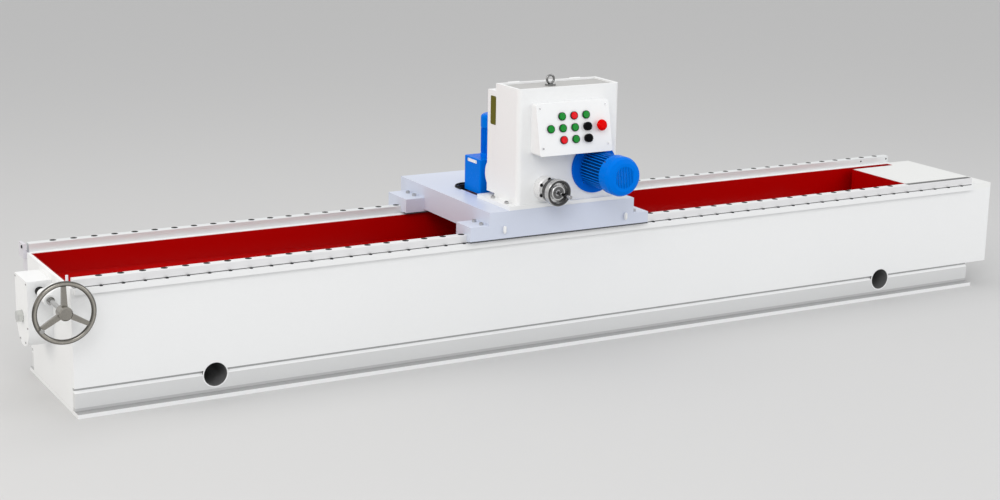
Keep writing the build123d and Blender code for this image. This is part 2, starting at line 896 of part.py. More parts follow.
def make_eyebolt():
    y = (column_front + column_rear) / 2
    z0 = column_top_z - roof_drop
    ring_z = z0 + eye_collar_h + eye_ring_r + eye_wire_r - eye_sink
    collar = rod("Z", (eye_x, y), eye_collar_r, z0, z0 + eye_collar_h)
    ring = Pos(eye_x, y, ring_z) * Rot(90, 0, 0) * Torus(eye_ring_r, eye_wire_r)
    return collar + ring


# Grinding head
def make_head_slide():
    plate = block((column_left, column_right), (slide_y0, slide_y1), (slide_bottom, slide_top))
    for x in way_places():
        plate -= along_z(way_section(x, run_clearance), slide_bottom, slide_top)
    wall_y = column_rear - column_wall
    nut = block((screw_x - nut_w / 2, screw_x + nut_w / 2), (wall_y - nut_depth, slide_y0),
                (slide_bottom + nut_lift, slide_bottom + nut_lift + nut_h_z))
    nut -= rod("Z", (screw_x, wall_y - screw_in), screw_r + shaft_clearance, slide_bottom, slide_top)
    ends = (column_left, column_left + bulge_len)
    bulge = rod("X", (slide_y1 - bulge_r + bulge_out, bulge_z), bulge_r, *ends)
    bulge &= block(ends, (slide_y1 - bulge_root, slide_y1 + bulge_r), (slide_bottom, slide_top))
    arm = block((head_x - arm_w / 2, head_x + arm_w / 2), (slide_y1, head_y),
                (slide_bottom + arm_lift, quill_top))
    quill = rod("Z", (head_x, head_y), quill_r, quill_bottom, quill_top)
    bore = rod("Z", (head_x, head_y), spindle_r + shaft_clearance, quill_bottom, quill_top)
    return plate + nut + bulge + arm + quill - bore


def make_feed_screw():
    y = column_rear - column_wall - screw_in
    top = column_top_z - roof_drop - roof_t - screw_end_gap
    return rod("Z", (screw_x, y), screw_r, carriage_top + screw_end_gap, top)


def make_grinding_motor():
    base = quill_top
    split = grind_motor_top - grind_cowl_h
    r = grind_motor_r
    room = spindle_r + coupling_room
    low = base + grind_lip + motor_slope
    at = (head_x, head_y)
    body = turned_z(at, [(0, base + coupling_h), (room, base + coupling_h), (room, base), (r, base),
                         (r, base + grind_lip), (r - grind_step, low), (r - grind_step, split), (0, split)])
    for rib in ribs(at, r, grind_step, low, split - fin_gap, grind_fins):
        body += rib
    return body


def make_grinding_motor_cowl():
    split = grind_motor_top - grind_cowl_h
    return domed_cap((head_x, head_y), grind_motor_r, split, grind_motor_top, grind_lip)


def make_grinding_spindle():
    back = wheel_top - wheel_back_t
    at = (head_x, head_y)
    shaft = rod("Z", at, spindle_r, back, quill_top + spindle_past)
    hub = rod("Z", at, wheel_bore_r - hub_inset, wheel_top, quill_bottom - run_clearance)
    return shaft + hub + rod("Z", at, spindle_r + washer_out, back - washer_t, back)


def make_grinding_wheel():
    low = wheel_top - wheel_h
    back = wheel_top - wheel_back_t
    cup = [(spindle_r, back), (wheel_bore_r, back), (wheel_bore_r + wheel_draft, low), (wheel_r, low)]
    rim = [(wheel_r, wheel_top - wheel_edge), (wheel_r - wheel_edge, wheel_top), (spindle_r, wheel_top)]
    return turned_z((head_x, head_y), cup + rim)


def make_wheel_guard():
    top = quill_bottom + guard_lift
    low = top - guard_h
    inner = guard_r - guard_t
    roof = top - guard_t
    return turned_z((head_x, head_y), [(quill_r, roof), (inner, roof), (inner, low), (guard_r, low),
                                       (guard_r, top), (quill_r, top)])


# Control console
def panel_frame():
    # A plane on the panel's outer face: local X along the bed, local Y up the slope, local Z outward
    mid_y = column_front - (console_depth_low + console_depth_high) / 2
    mid_z = (console_bottom + console_top) / 2
    mid_x = (console_left + console_right) / 2
    t = radians(console_tilt)
    return Plane(origin=(mid_x, mid_y, mid_z), x_dir=(1, 0, 0), z_dir=(0, -cos(t), sin(t)))


def console_section(depth_off):
    y = column_front
    return [(y, console_bottom), (y, console_top), (y - console_depth_high + depth_off, console_top),
            (y - console_depth_low + depth_off, console_bottom)]


def make_console_box():
    back = panel_t / cos(radians(console_tilt))
    body = along_x(console_section(back), console_left, console_right)
    body = fillet(body.edges().filter_by(Axis.Y), panel_edge)
    w = console_wall
    low = console_bottom + w
    high = console_top - w
    lean = tan(radians(console_tilt))
    deep = column_front - console_depth_low + back + w / cos(radians(console_tilt))
    inner = [(column_front - w, low), (column_front - w, high),
             (deep + lean * (high - console_bottom), high), (deep + lean * w, low)]
    hollow = along_x(inner, console_left + w, console_right - w)
    hollow = fillet(hollow.edges().filter_by(Axis.Y), panel_edge - w)
    return body - hollow - panel_holes()


def button_spots():
    # Local panel places of the push buttons (name, x, v), the selectors and the emergency stop
    px = button_pitch_x
    pv = button_row_share * console_face_len
    mid = button_mid_share * console_face_len
    x0 = button_mid_x - (console_left + console_right) / 2
    columns = [x0 - 1.5 * px, x0 - 0.5 * px, x0 + 0.5 * px, x0 + 1.5 * px]
    rows = [mid + pv, mid, mid - pv]
    push = [("green_button_top_left", columns[1], rows[0]), ("red_button_top", columns[2], rows[0]),
            ("green_button_top_right", columns[3], rows[0]), ("green_button_far_left", columns[0], rows[1]),
            ("green_button_mid_left", columns[1], rows[1]), ("green_button_mid_right", columns[2], rows[1]),
            ("red_button_low", columns[1], rows[2]), ("green_button_low", columns[2], rows[2])]
    knobs = [("upper_speed_knob", columns[3], rows[1]), ("lower_speed_knob", columns[3], rows[2])]
    stop = ("emergency_stop", columns[3] + stop_offset_x, rows[1])
    return push, knobs, stop


def on_panel(shape, x, v):
    return panel_frame().location * Pos(x, v, 0) * shape


def panel_holes():
    push, knobs, stop = button_spots()
    holes = []
    for name, x, v in push + knobs + [stop]:
        r = stop_stem_r if name == stop[0] else button_r
        hole = Cylinder(r + run_clearance, button_stem * 2 + panel_t)
        holes.append(on_panel(hole, x, v))
    joined = holes[0]
    for hole in holes[1:]:
        joined += hole
    return joined


def make_console_cover():
    width = console_right - console_left
    plate = Box(width, console_face_len, panel_t)
    plate = fillet(plate.edges().filter_by(Axis.Z), panel_edge)
    return panel_frame().location * Pos(0, 0, -panel_t / 2) * plate - panel_holes()


def make_button_bezels():
    push, knobs, stop = button_spots()
    rings = []
    for name, x, v in push + knobs:
        ring = Cylinder(bezel_r, bezel_t, align=(Align.CENTER, Align.CENTER, Align.MIN))
        ring -= Cylinder(button_r + run_clearance, bezel_t * 3)
        rings.append(on_panel(ring, x, v))
    return Compound(rings)


def make_push_button(x, v):
    cap = Cylinder(button_r, button_proud + button_stem, align=(Align.CENTER, Align.CENTER, Align.MAX))
    cap = chamfer(cap.faces().sort_by(Axis.Z)[-1].edges(), button_edge)
    return on_panel(Pos(0, 0, button_proud) * cap, x, v)


def make_speed_knob(x, v):
    tall = selector_proud - bezel_t
    stem = Cylinder(button_r, button_stem + bezel_t, align=(Align.CENTER, Align.CENTER, Align.MAX))
    grip = Cylinder(selector_r, tall, align=(Align.CENTER, Align.CENTER, Align.MIN))
    grip = chamfer(grip.faces().sort_by(Axis.Z)[-1].edges(), selector_edge)
    flute = Pos(selector_r + flute_out, 0, 0) * Cylinder(flute_r, tall * 3)
    for k in range(flute_count):
        grip -= Rot(0, 0, 360 * k / flute_count) * flute
    return on_panel(Pos(0, 0, bezel_t + run_clearance) * (grip + stem), x, v)


def make_emergency_stop(x, v):
    r = stop_button_r
    top = stop_button_proud
    under = top - stop_head_h
    stem = Cylinder(stop_stem_r, button_stem + under, align=(Align.CENTER, Align.CENTER, Align.MIN))
    points = [(0, under), (r - stop_head_under, under), (r, under + stop_head_edge),
              (r - stop_head_under / 2, top - stop_head_under), (r - stop_head_dome, top), (0, top)]
    head = turned_z((0, 0), points)
    return on_panel(Pos(0, 0, -button_stem) * stem + head, x, v)


# Feed nose and feed motor
def make_nose_flange():
    y1 = column_front
    y0 = y1 - nose_flange_t
    neck = y0 - nose_neck_len
    bore = feed_shaft_r + shaft_clearance
    r = nose_flange_r
    outline = [(bore, neck), (nose_neck_r, neck), (nose_neck_r, y0), (r - nose_edge, y0), (r, y0 + nose_edge)]
    return turned_y((nose_x, nose_z), outline + [(r, y1), (bore, y1)])


def make_feed_dial():
    y1 = column_front - nose_flange_t - nose_neck_len - run_clearance
    y0 = y1 - dial_len
    rim = dial_r - dial_rim
    floor = y0 + dial_cup
    hub = y0 + dial_hub_in
    e = dial_edge
    back = dial_r - dial_step
    cup = [(feed_shaft_r, hub), (dial_hub_r - e, hub), (dial_hub_r, hub + e), (dial_hub_r, floor)]
    lip = [(rim, floor), (rim, y0 + e), (rim + e, y0), (dial_r - e, y0), (dial_r, y0 + e)]
    skirt = [(dial_r, y0 + dial_len * 0.45), (back, y0 + dial_len * 0.55), (back, y1), (feed_shaft_r, y1)]
    return turned_y((nose_x, nose_z), cup + lip + skirt)


def make_feed_shaft():
    y1 = column_front + column_wall + shaft_past_wall
    dial_face = column_front - nose_flange_t - nose_neck_len - run_clearance - dial_len
    shoulder = dial_face + dial_seat
    shaft = rod("Y", (nose_x, nose_z), feed_shaft_r, shoulder, y1)
    tip = [(0, stub_end), (stub_r - stub_edge, stub_end), (stub_r, stub_end + stub_edge)]
    stub = turned_y((nose_x, nose_z), tip + [(stub_r, shoulder), (0, shoulder)])
    return shaft + stub


def make_motor_frame():
    y1 = column_front - motor_flange_t
    y0 = y1 - motor_body_len
    section = [(motor_bore_r, y0), (motor_core_r, y0), (motor_core_r, y1), (motor_bore_r, y1)]
    body = turned_y((motor_x, motor_z), section)
    half = motor_fin_t / 2
    root = motor_core_r - motor_fin_root
    for k in range(motor_fin_count):
        fin = block((root, motor_fin_r), (y0 + motor_fin_front, y1 - motor_fin_rear), (-half, half))
        body += Pos(motor_x, 0, motor_z) * Rot(0, 360 * (k + 0.5) / motor_fin_count, 0) * fin
    return body


def make_motor_flange():
    y1 = column_front
    y0 = y1 - motor_flange_t
    r = motor_flange_r
    section = [(motor_bore_r, y0), (r - flange_edge, y0), (r, y0 + flange_edge), (r, y1), (motor_bore_r, y1)]
    disc = turned_y((motor_x, motor_z), section)
    return disc - block((motor_x - r, motor_x + r), (y0, y1), (console_bottom - flange_gap, motor_z + r))


def make_motor_cowl():
    y1 = column_front - motor_flange_t - motor_body_len
    y0 = y1 - motor_cowl_len
    r = motor_cowl_r
    e = motor_cowl_edge
    t = motor_cowl_t
    step = e * cowl_shoulder
    outer = [(0, y0), (r - e, y0), (r - step, y0 + step), (r, y0 + e), (r, y1), (motor_core_r, y1)]
    inner = [(motor_core_r, y1 - t), (r - t, y1 - t), (r - t, y0 + e), (r - step - t, y0 + step + t),
             (r - e, y0 + t), (0, y0 + t)]
    shell = turned_y((motor_x, motor_z), outer + inner)
    grille_r = r - e - cowl_slot_in
    for k in range(cowl_slots):
        x = (k - (cowl_slots - 1) / 2) * cowl_slot_pitch
        reach = sqrt(grille_r ** 2 - x ** 2)
        slot_x0 = motor_x + x - cowl_slot_w / 2
        slot_z = (motor_z - reach, motor_z + reach)
        shell -= block((slot_x0, slot_x0 + cowl_slot_w), (y0 - t, y0 + t * 2), slot_z)
    return shell


def make_motor_rotor():
    y1 = column_front + column_wall + rotor_past
    y0 = column_front - motor_flange_t - motor_body_len - motor_cowl_len + motor_cowl_t + fan_gap
    disc_y = y0 + fan_disc_in
    fan = rod("Y", (motor_x, motor_z), motor_shaft_r, y0, y1)
    fan += rod("Y", (motor_x, motor_z), fan_r * 0.5, disc_y, disc_y + fan_disc_t)
    for k in range(fan_blades):
        blade = block((motor_shaft_r / 2, fan_r), (disc_y, disc_y + fan_t), (-blade_half, blade_half))
        fan += Pos(motor_x, 0, motor_z) * Rot(0, 360 * k / fan_blades, 0) * blade
    return fan


def build_nodes():
    push, knobs, stop = button_spots()
    nodes = {
        "base_frame": make_base_frame(),
        "bed_box": make_bed_box(),
        "left_end_plate": make_left_end_plate(),
        "lifting_tubes": make_lifting_tubes(),
        "coolant_tray": make_coolant_tray(),
        "deck_plate": make_deck_plate(),
        "front_rail_seat": make_front_rail_seat(),
        "rear_rail_seat": make_rear_rail_seat(),
        "front_rail": make_rail(front_rail_y, front_rail_right),
        "rear_rail": make_rail(rear_rail_y, rear_rail_right),
        "rail_stops": make_rail_stops(),
        "rack_seat": make_rack_seat(),
        "drive_rack": make_drive_rack(),
        "worm_housing": make_worm_housing(),
        "worm_cover": make_worm_cover(),
        "worm_shaft": make_worm_shaft(),
        "worm_wheel": make_worm_wheel(),
        "seal_collar": make_seal_collar(),
        "shaft_bracket": make_shaft_bracket(),
        "handwheel": make_handwheel(),
        "crank_handle": make_crank_handle(),
        "carriage_body": make_carriage_body(),
        "slide_blocks": make_slide_blocks(),
        "carriage_bolts": make_carriage_bolts(),
        "oilers": make_oilers(),
        "drive_pinion": make_drive_pinion(),
        "reducer_housing": make_reducer_housing(),
        "drive_motor": make_drive_motor(),
        "drive_motor_cowl": make_drive_motor_cowl(),
        "column": make_column(),
        "column_roof": make_column_roof(),
        "eyebolt": make_eyebolt(),
        "head_slide": make_head_slide(),
        "feed_screw": make_feed_screw(),
        "grinding_motor": make_grinding_motor(),
        "grinding_motor_cowl": make_grinding_motor_cowl(),
        "grinding_spindle": make_grinding_spindle(),
        "grinding_wheel": make_grinding_wheel(),
        "wheel_guard": make_wheel_guard(),
        "console_box": make_console_box(),
        "console_cover": make_console_cover(),
        "button_bezels": make_button_bezels(),
        "nose_flange": make_nose_flange(),
        "feed_dial": make_feed_dial(),
        "feed_shaft": make_feed_shaft(),
        "feed_motor_flange": make_motor_flange(),
        "feed_motor_frame": make_motor_frame(),
        "feed_motor_cowl": make_motor_cowl(),
        "feed_motor_rotor": make_motor_rotor(),
    }
    for name, x, v in push:
        nodes[name] = make_push_button(x, v)
    for name, x, v in knobs:
        nodes[name] = make_speed_knob(x, v)
    nodes[stop[0]] = make_emergency_stop(stop[1], stop[2])
    return nodes


if __name__ == "__main__":
    os.makedirs("parts", exist_ok=True)
    for node_name, shape in build_nodes().items():
        export_step(shape, f"parts/{node_name}.step")
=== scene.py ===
import json
import math

import bmesh
import bpy
from mathutils import Matrix, Vector


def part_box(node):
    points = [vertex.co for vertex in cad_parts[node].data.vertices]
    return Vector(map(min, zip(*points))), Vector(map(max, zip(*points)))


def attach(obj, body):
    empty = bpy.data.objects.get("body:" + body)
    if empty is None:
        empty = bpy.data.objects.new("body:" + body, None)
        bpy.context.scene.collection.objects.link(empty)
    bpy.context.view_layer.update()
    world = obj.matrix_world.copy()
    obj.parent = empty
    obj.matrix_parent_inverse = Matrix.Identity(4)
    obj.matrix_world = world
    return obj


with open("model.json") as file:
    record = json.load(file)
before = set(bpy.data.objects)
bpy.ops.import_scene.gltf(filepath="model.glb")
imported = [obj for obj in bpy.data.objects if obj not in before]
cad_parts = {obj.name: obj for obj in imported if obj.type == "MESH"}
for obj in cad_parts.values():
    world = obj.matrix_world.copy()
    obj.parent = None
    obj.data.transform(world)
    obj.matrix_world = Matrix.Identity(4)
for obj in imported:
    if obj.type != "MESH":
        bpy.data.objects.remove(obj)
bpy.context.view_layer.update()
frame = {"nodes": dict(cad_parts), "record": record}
nodes = frame["nodes"]
print("frame loaded:", len(nodes), "nodes")


# camera at the photograph's place: a long lens, a little above, seen from the handwheel end
cameraSetup = {
    "place": (-3.39305, -5.62086, 1.90821),
    "yaw": 29.26, "pitch": 13.971, "roll": 0.936,  # degrees: turned from +Y to +X, tipped down, rolled
    "lens": 65.61, "sensor": 36.0, "clipEnd": 100,
}


def buildCamera():
    c = cameraSetup
    yaw, pitch, roll = (math.radians(c[k]) for k in ("yaw", "pitch", "roll"))
    ahead = Vector((math.sin(yaw) * math.cos(pitch), math.cos(yaw) * math.cos(pitch), -math.sin(pitch)))
    right = Vector((math.cos(yaw), -math.sin(yaw), 0))
    up = right.cross(ahead)
    r = math.cos(roll) * right + math.sin(roll) * up
    u = -math.sin(roll) * right + math.cos(roll) * up
    data = bpy.data.cameras.new("photoCamera")
    data.sensor_fit = "HORIZONTAL"
    data.sensor_width = c["sensor"]
    data.lens = c["lens"]
    data.clip_end = c["clipEnd"]
    cam = bpy.data.objects.new("photoCamera", data)
    turn = Matrix((r, u, -ahead)).transposed().to_4x4()
    cam.matrix_world = Matrix.Translation(c["place"]) @ turn
    bpy.context.scene.collection.objects.link(cam)
    bpy.context.scene.camera = cam


buildCamera()
print("camera placed")


# shared finishes
def newGroup(name, inputs, outputs):
    group = bpy.data.node_groups.new(name, "ShaderNodeTree")
    for label, kind, value in inputs:
        s = group.interface.new_socket(label, in_out="INPUT", socket_type=kind)
        s.default_value = value
    for label, kind in outputs:
        group.interface.new_socket(label, in_out="OUTPUT", socket_type=kind)
    ins = group.nodes.new("NodeGroupInput")
    outs = group.nodes.new("NodeGroupOutput")
    return group, ins, outs


def addMath(tree, kind, a, b):
    n = tree.nodes.new("ShaderNodeMath")
    n.operation = kind
    for k, v in enumerate((a, b)):
        if isinstance(v, (int, float)):
            n.inputs[k].default_value = v
        else:
            tree.links.new(v, n.inputs[k])
    return n.outputs[0]


def addVector(tree, kind, a, b=None):
    n = tree.nodes.new("ShaderNodeVectorMath")
    n.operation = kind
    second = n.inputs["Scale"] if kind == "SCALE" else n.inputs[1]
    tree.links.new(a, n.inputs[0])
    if isinstance(b, tuple):
        second.default_value = b
    elif b is not None:
        tree.links.new(b, second)
    return n.outputs["Value"] if kind == "LENGTH" else n.outputs[0]


def addNoise(tree, where, scale, detail):
    n = tree.nodes.new("ShaderNodeTexNoise")
    n.inputs["Detail"].default_value = detail
    tree.links.new(where, n.inputs["Vector"])
    if isinstance(scale, (int, float)):
        n.inputs["Scale"].default_value = scale
    else:
        tree.links.new(scale, n.inputs["Scale"])
    return n.outputs["Fac"]


def addSwing(tree, noise, reach):
    # a noise counted from its middle, times a reach
    return addMath(tree, "MULTIPLY", addMath(tree, "SUBTRACT", noise, 0.5), reach)


enamelGrain = {"slowScale": 1.7, "speckScale": 95.0, "speckShare": 0.5, "wear": 0.12}


def buildEnamelGroup():
    # sprayed machine enamel: slow shade drift, fine orange peel, a few dust specks
    e = enamelGrain
    g, ins, outs = newGroup("enamelFinish", [
        ("Paint", "NodeSocketColor", (0.8, 0.8, 0.8, 1)), ("Drift", "NodeSocketFloat", 0.04),
        ("Peel scale", "NodeSocketFloat", 260.0), ("Gloss", "NodeSocketFloat", 0.3),
        ("Gain", "NodeSocketFloat", 1.0)],
        [("Color", "NodeSocketColor"), ("Roughness", "NodeSocketFloat"), ("Height", "NodeSocketFloat")])
    co = g.nodes.new("ShaderNodeTexCoord").outputs["Object"]
    slow = addNoise(g, co, e["slowScale"], detail=3)
    peel = addNoise(g, co, ins.outputs["Peel scale"], detail=2)
    speck = addNoise(g, co, e["speckScale"], detail=4)
    shade = addSwing(g, slow, ins.outputs["Drift"])
    dust = addSwing(g, speck, addMath(g, "MULTIPLY", ins.outputs["Drift"], e["speckShare"]))
    change = addMath(g, "ADD", shade, dust)
    gain = addMath(g, "MULTIPLY", addMath(g, "ADD", 1.0, change), ins.outputs["Gain"])
    g.links.new(addVector(g, "SCALE", ins.outputs["Paint"], gain), outs.inputs["Color"])
    rough = addMath(g, "ADD", ins.outputs["Gloss"], addSwing(g, speck, e["wear"]))
    g.links.new(rough, outs.inputs["Roughness"])
    g.links.new(peel, outs.inputs["Height"])
    return g


steelGrain = {"stainScale": 9.0, "haze": 0.08, "wear": 0.18}


def buildGroundSteelGroup():
    # ground or turned steel: streaks along one axis and faint stains
    s = steelGrain
    g, ins, outs = newGroup("groundSteel", [
        ("Metal", "NodeSocketColor", (0.7, 0.7, 0.7, 1)), ("Stretch", "NodeSocketVector", (1, 1, 1)),
        ("Streak", "NodeSocketFloat", 0.12), ("Gloss", "NodeSocketFloat", 0.3),
        ("Gain", "NodeSocketFloat", 1.0)],
        [("Color", "NodeSocketColor"), ("Roughness", "NodeSocketFloat"), ("Height", "NodeSocketFloat")])
    co = g.nodes.new("ShaderNodeTexCoord").outputs["Object"]
    streak = addNoise(g, addVector(g, "MULTIPLY", co, ins.outputs["Stretch"]), 1.0, detail=4)
    stain = addNoise(g, co, s["stainScale"], detail=3)
    change = addMath(g, "ADD", addSwing(g, streak, ins.outputs["Streak"]), addSwing(g, stain, s["haze"]))
    gain = addMath(g, "MULTIPLY", addMath(g, "ADD", 1.0, change), ins.outputs["Gain"])
    g.links.new(addVector(g, "SCALE", ins.outputs["Metal"], gain), outs.inputs["Color"])
    rough = addMath(g, "ADD", ins.outputs["Gloss"], addSwing(g, streak, s["wear"]))
    g.links.new(rough, outs.inputs["Roughness"])
    g.links.new(streak, outs.inputs["Height"])
    return g


def buildDarkBoxGroup():
    # gain of 1, or Shade inside a box of object space: painted shade in recesses, gaps and under parts,
    # and a darker tone on some pieces
    g, ins, outs = newGroup("darkBox", [
        ("Low", "NodeSocketVector", (0, 0, 0)), ("High", "NodeSocketVector", (0, 0, 0)),
        ("Shade", "NodeSocketFloat", 0.2)], [("Gain", "NodeSocketFloat")])
    co = g.nodes.new("ShaderNodeTexCoord").outputs["Object"]
    parts = []
    for source in (co, ins.outputs["Low"], ins.outputs["High"]):
        split = g.nodes.new("ShaderNodeSeparateXYZ")
        g.links.new(source, split.inputs[0])
        parts.append(split.outputs)
    inside = 1.0
    for axis in ("X", "Y", "Z"):
        above = addMath(g, "GREATER_THAN", parts[0][axis], parts[1][axis])
        below = addMath(g, "LESS_THAN", parts[0][axis], parts[2][axis])
        inside = addMath(g, "MULTIPLY", inside, addMath(g, "MULTIPLY", above, below))
    drop = addMath(g, "MULTIPLY", inside, addMath(g, "SUBTRACT", 1.0, ins.outputs["Shade"]))
    g.links.new(addMath(g, "SUBTRACT", 1.0, drop), outs.inputs["Gain"])
    return g


# tones by height or by distance from an axis along Y, all painted light: painted shade by height on the
# base frame's flange, web, ledge and groove, painted shade between the feed motor's fins from root to tip,
# painted reflection rings on the feed dial, painted reflection bands and highlight on the handwheel's rim
ledgeShades = {"reach": 0.1, "change": "CONSTANT", "tones": (
    (0, 1.0), (0.0134, 0.45), (0.0160, 0.60), (0.025, 0.78), (0.0738, 1.0), (0.0812, 0.50), (0.0902, 1.0))}
finShades = {"axis": (-0.022, 0, 0.644), "reach": 0.1, "change": "LINEAR", "tones": (
    (0.0575, 0.28), (0.0640, 1.0))}
dialReflectionRings = {"axis": (-0.223, 0, 0.588), "reach": 0.05, "change": "LINEAR", "tones": (
    (0, 0.5), (0.010, 0.12), (0.0215, 0.15), (0.0230, 1.0), (0.0345, 0.95),
    (0.0357, 0.05), (0.0440, 0.07), (0.0455, 0.55))}
rimReflectionBands = {"axis": (-1.94, 0, 0.361), "reach": 0.11, "change": "LINEAR", "tones": (
    (0, 0.76), (0.0830, 0.76), (0.0845, 0.22), (0.0880, 0.45), (0.0910, 1.0), (0.0935, 1.0),
    (0.0965, 0.40), (0.0992, 0.20))}


def buildToneGroup(name, spec):
    g, _, outs = newGroup(name, [], [("Gain", "NodeSocketFloat")])
    co = g.nodes.new("ShaderNodeTexCoord").outputs["Object"]
    if "axis" in spec:
        away = addVector(g, "SUBTRACT", co, spec["axis"])
        reached = addVector(g, "LENGTH", addVector(g, "MULTIPLY", away, (1, 0, 1)))
    else:
        split = g.nodes.new("ShaderNodeSeparateXYZ")
        g.links.new(co, split.inputs[0])
        reached = split.outputs["Z"]
    ramp = g.nodes.new("ShaderNodeValToRGB")
    ramp.color_ramp.interpolation = spec["change"]
    stops = ramp.color_ramp.elements
    while len(stops) < len(spec["tones"]):
        stops.new(1.0)
    for stop, (place, tone) in zip(stops, spec["tones"]):
        stop.position = place / spec["reach"]
        stop.color = (tone, tone, tone, 1)
    g.links.new(addMath(g, "DIVIDE", reached, spec["reach"]), ramp.inputs[0])
    g.links.new(ramp.outputs["Color"], outs.inputs["Gain"])
    return g


enamelGroup = buildEnamelGroup()
steelGroup = buildGroundSteelGroup()
darkBoxGroup = buildDarkBoxGroup()
ledgeShadeGroup = buildToneGroup("ledgePaintedShade", ledgeShades)
finShadeGroup = buildToneGroup("finPaintedShade", finShades)
dialReflectionGroup = buildToneGroup("dialPaintedReflection", dialReflectionRings)
rimReflectionGroup = buildToneGroup("rimPaintedReflection", rimReflectionBands)


def finishMaterial(name, group, values, metallic, bump, specular=0.5, shades=()):
    mat = bpy.data.materials.new(name)
    mat.use_nodes = True
    tree = mat.node_tree
    shader = tree.nodes["Principled BSDF"]
    look = tree.nodes.new("ShaderNodeGroup")
    look.node_tree = group
    for label, value in values.items():
        look.inputs[label].default_value = value
    # the gains of the tone and box groups multiply into the paint: painted shade and painted reflection
    gain = None
    for toneGroup, toneValues in shades:
        tone = tree.nodes.new("ShaderNodeGroup")
        tone.node_tree = toneGroup
        for label, value in toneValues.items():
            tone.inputs[label].default_value = value
        gain = addMath(tree, "MULTIPLY", gain, tone.outputs["Gain"]) if gain else tone.outputs["Gain"]
    if gain:
        tree.links.new(gain, look.inputs["Gain"])
    shader.inputs["Metallic"].default_value = metallic
    shader.inputs["Specular IOR Level"].default_value = specular
    relief = tree.nodes.new("ShaderNodeBump")
    relief.inputs["Strength"].default_value = bump[0]
    relief.inputs["Distance"].default_value = bump[1]
    tree.links.new(look.outputs["Color"], shader.inputs["Base Color"])
    tree.links.new(look.outputs["Roughness"], shader.inputs["Roughness"])
    tree.links.new(look.outputs["Height"], relief.inputs["Height"])
    tree.links.new(relief.outputs["Normal"], shader.inputs["Normal"])
    return mat


def enamel(name, paint, gloss, drift=0.04, peel=260.0, bump=(0.06, 0.0006), specular=0.5, shades=()):
    values = {"Paint": (*paint, 1), "Gloss": gloss, "Drift": drift, "Peel scale": peel}
    return finishMaterial(name, enamelGroup, values, 0.0, bump, specular, shades)


def steel(name, metal, gloss, stretch, streak=0.12, bump=(0.05, 0.0003), metallic=1.0, shades=()):
    values = {"Metal": (*metal, 1), "Gloss": gloss, "Stretch": stretch, "Streak": streak}
    return finishMaterial(name, steelGroup, values, metallic, bump, shades=shades)


white = (0.86, 0.868, 0.872)
lavender = (0.63, 0.675, 0.79)
railTone = (0.80, 0.80, 0.81)
blue = (0.0, 0.175, 0.76)
fine = (0.12, 0.0002)  # bump strength and depth
turned = (300, 300, 300)  # streaks per metre along X, Y and Z
polished = {"stretch": (220, 220, 220), "streak": 0.04, "bump": (0.02, 0.0002)}
groundRail = {"gloss": 0.36, "stretch": (6, 900, 900), "metallic": 0.25}
motorPaint = {"gloss": 0.26, "drift": 0.08, "peel": 420.0, "specular": 0.02}
finishes = {
    "white_paint": enamel("whiteEnamel", white, 0.32),
    "red_paint": enamel("redEnamel", (0.42, 0.0, 0.0), 0.22, drift=0.10, specular=0.3),
    "lavender_paint": enamel("lavenderEnamel", lavender, 0.36),
    "blue_paint": enamel("blueEnamel", blue, **motorPaint),
    "roof_grey": enamel("roofEnamel", (0.43, 0.425, 0.415), 0.40),
    "rail_steel": steel("railSteel", railTone, **groundRail),
    "shaft_steel": steel("shaftSteel", (0.48, 0.48, 0.48), 0.28, (300, 300, 40), metallic=0.85),
    "chrome": steel("brightChrome", (0.42, 0.42, 0.43), 0.10, **polished),
    # painted reflection: dark and bright bands across the handwheel's rim, by distance from its axis
    "handwheel_grey": steel("turnedIron", (0.42, 0.40, 0.36), 0.20, (160, 160, 160), 0.4,
                            shades=((rimReflectionGroup, {}),)),
    "black_rubber": enamel("blackRubber", (0.006, 0.006, 0.006), 0.6, 0.3, 900.0, (0.2, 0.0004),
                           specular=0.15),
    "black_plastic": enamel("blackKnobPlastic", (0.003, 0.003, 0.0035), 0.3, 0.3, 1500.0, fine,
                            specular=0.03),
    "green_plastic": enamel("greenLens", (0.001, 0.25, 0.022), 0.16, 0.15, 1200.0, fine, specular=0.14),
    "red_plastic": enamel("redLens", (0.76, 0.0, 0.006), 0.16, 0.12, 1200.0, fine, specular=0.14),
    "bezel_black": enamel("bezelBlack", (0.004, 0.004, 0.0045), 0.30, 0.2, 1400.0, fine, specular=0.08),
    "abrasive": enamel("abrasiveGrit", (0.30, 0.29, 0.27), 0.85, 0.5, 1800.0, (0.7, 0.0008)),
}
# painted shade standing for the socket holes, which are not cut
socketShade = enamel("socketShade", (0.006, 0.006, 0.006), 0.7, drift=0.3, peel=900.0, specular=0.2)
oliveFoil = enamel("oliveFoil", (0.115, 0.105, 0.003), 0.38, drift=0.15, peel=600.0, specular=0.10)
plateWhite = enamel("plateWhite", (0.88, 0.90, 0.92), 0.35, drift=0.06, peel=600.0)
blackenedSteel = steel("blackenedSteel", (0.045, 0.045, 0.048), 0.42, turned, streak=0.25)
plugDark = enamel("plugDark", (0.010, 0.010, 0.011), 0.5, drift=0.4, peel=700.0, specular=0.2)
brightSteel = steel("brightSteel", (0.45, 0.45, 0.44), 0.06, **polished)
